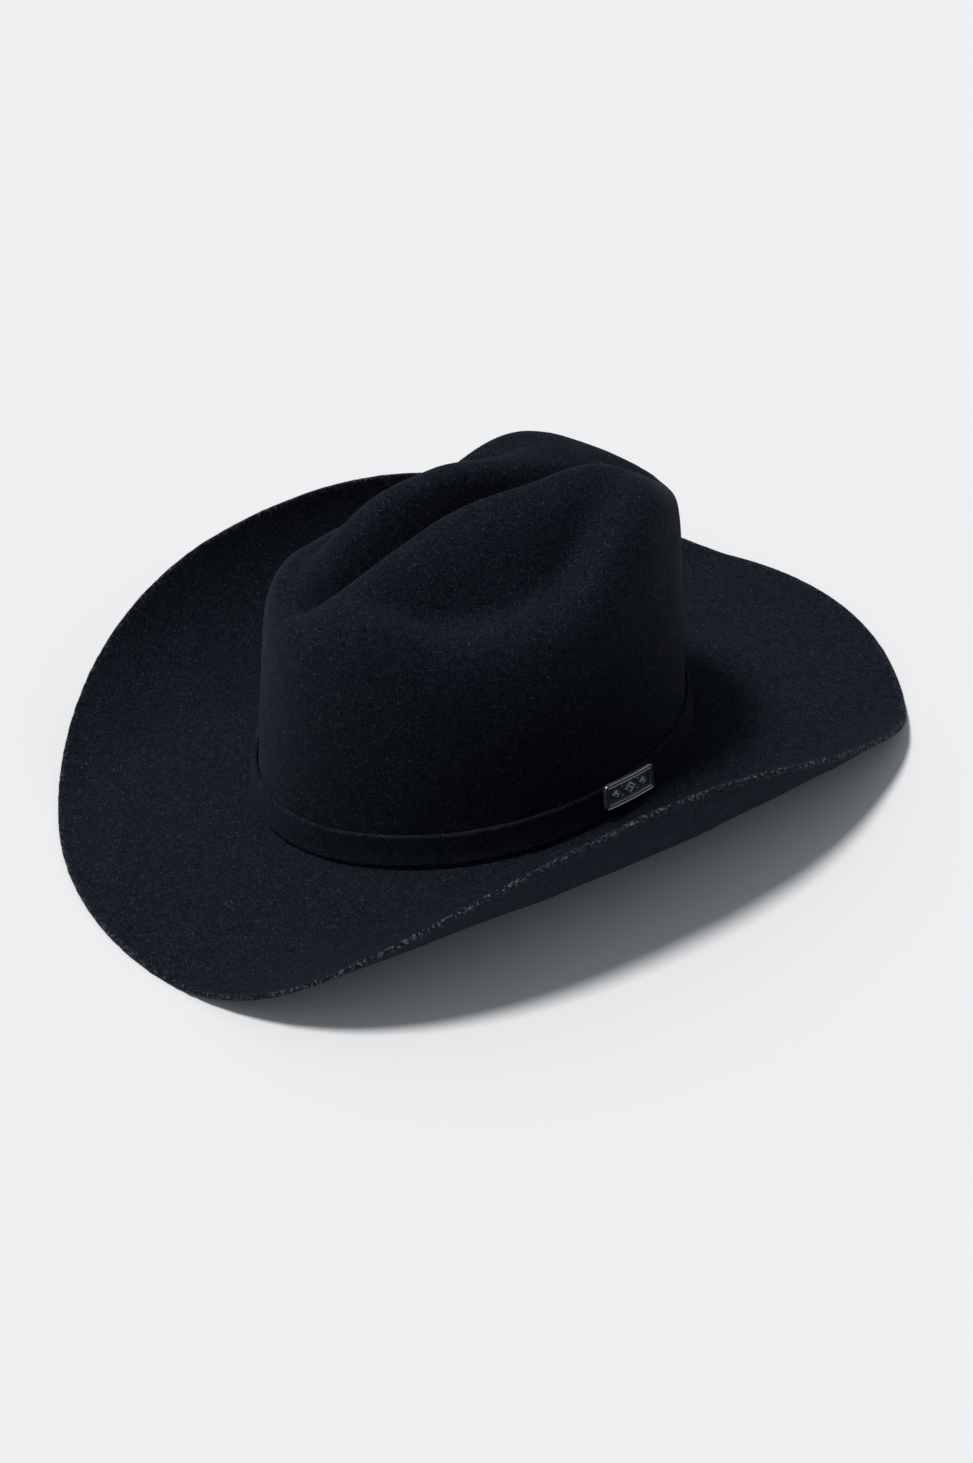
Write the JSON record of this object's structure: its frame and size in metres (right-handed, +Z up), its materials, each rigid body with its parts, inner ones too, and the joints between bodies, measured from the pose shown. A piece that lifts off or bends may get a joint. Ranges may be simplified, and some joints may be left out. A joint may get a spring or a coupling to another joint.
{
  "type": "cowboy hat",
  "caption": "Black felt western hat with a cattleman crease, curled brim, self-felt band with a small cast metal ornament, leather sweatband and satin lining.",
  "frame": {"origin": "centre of the hat's bounding box, at its lowest point, where the brim rests on a table", "axes": "-Y towards the front of the hat, +X towards the wearer's left, +Z up through the crown"},
  "size_m": [0.3086, 0.4076, 0.1515],
  "materials": {
    "felt": "brushed wool felt, matt with a soft nap",
    "ornament_metal": "cast, darkened in the recesses, worn bright on the edges",
    "nut_steel": "plain sheet steel",
    "sweatband_leather": "smooth, semi-matt",
    "reed_plastic": "matt",
    "ribbon": "fine ribbed grosgrain",
    "label_cloth": "plain woven, blank",
    "satin": "satin weave, soft sheen"
  },
  "bodies": {
    "root": {"felt_body": "felt", "hat_band": "felt", "ornament_plate": "ornament_metal", "ornament_nut_front": "nut_steel", "ornament_nut_rear": "nut_steel", "sweatband": "sweatband_leather", "sweatband_reed": "reed_plastic", "reed_tape": "ribbon", "sweatband_bow": "ribbon", "size_label": "label_cloth", "lining_side": "satin", "lining_tip": "satin", "lining_piping": "ribbon"}
  },
  "joints": []
}
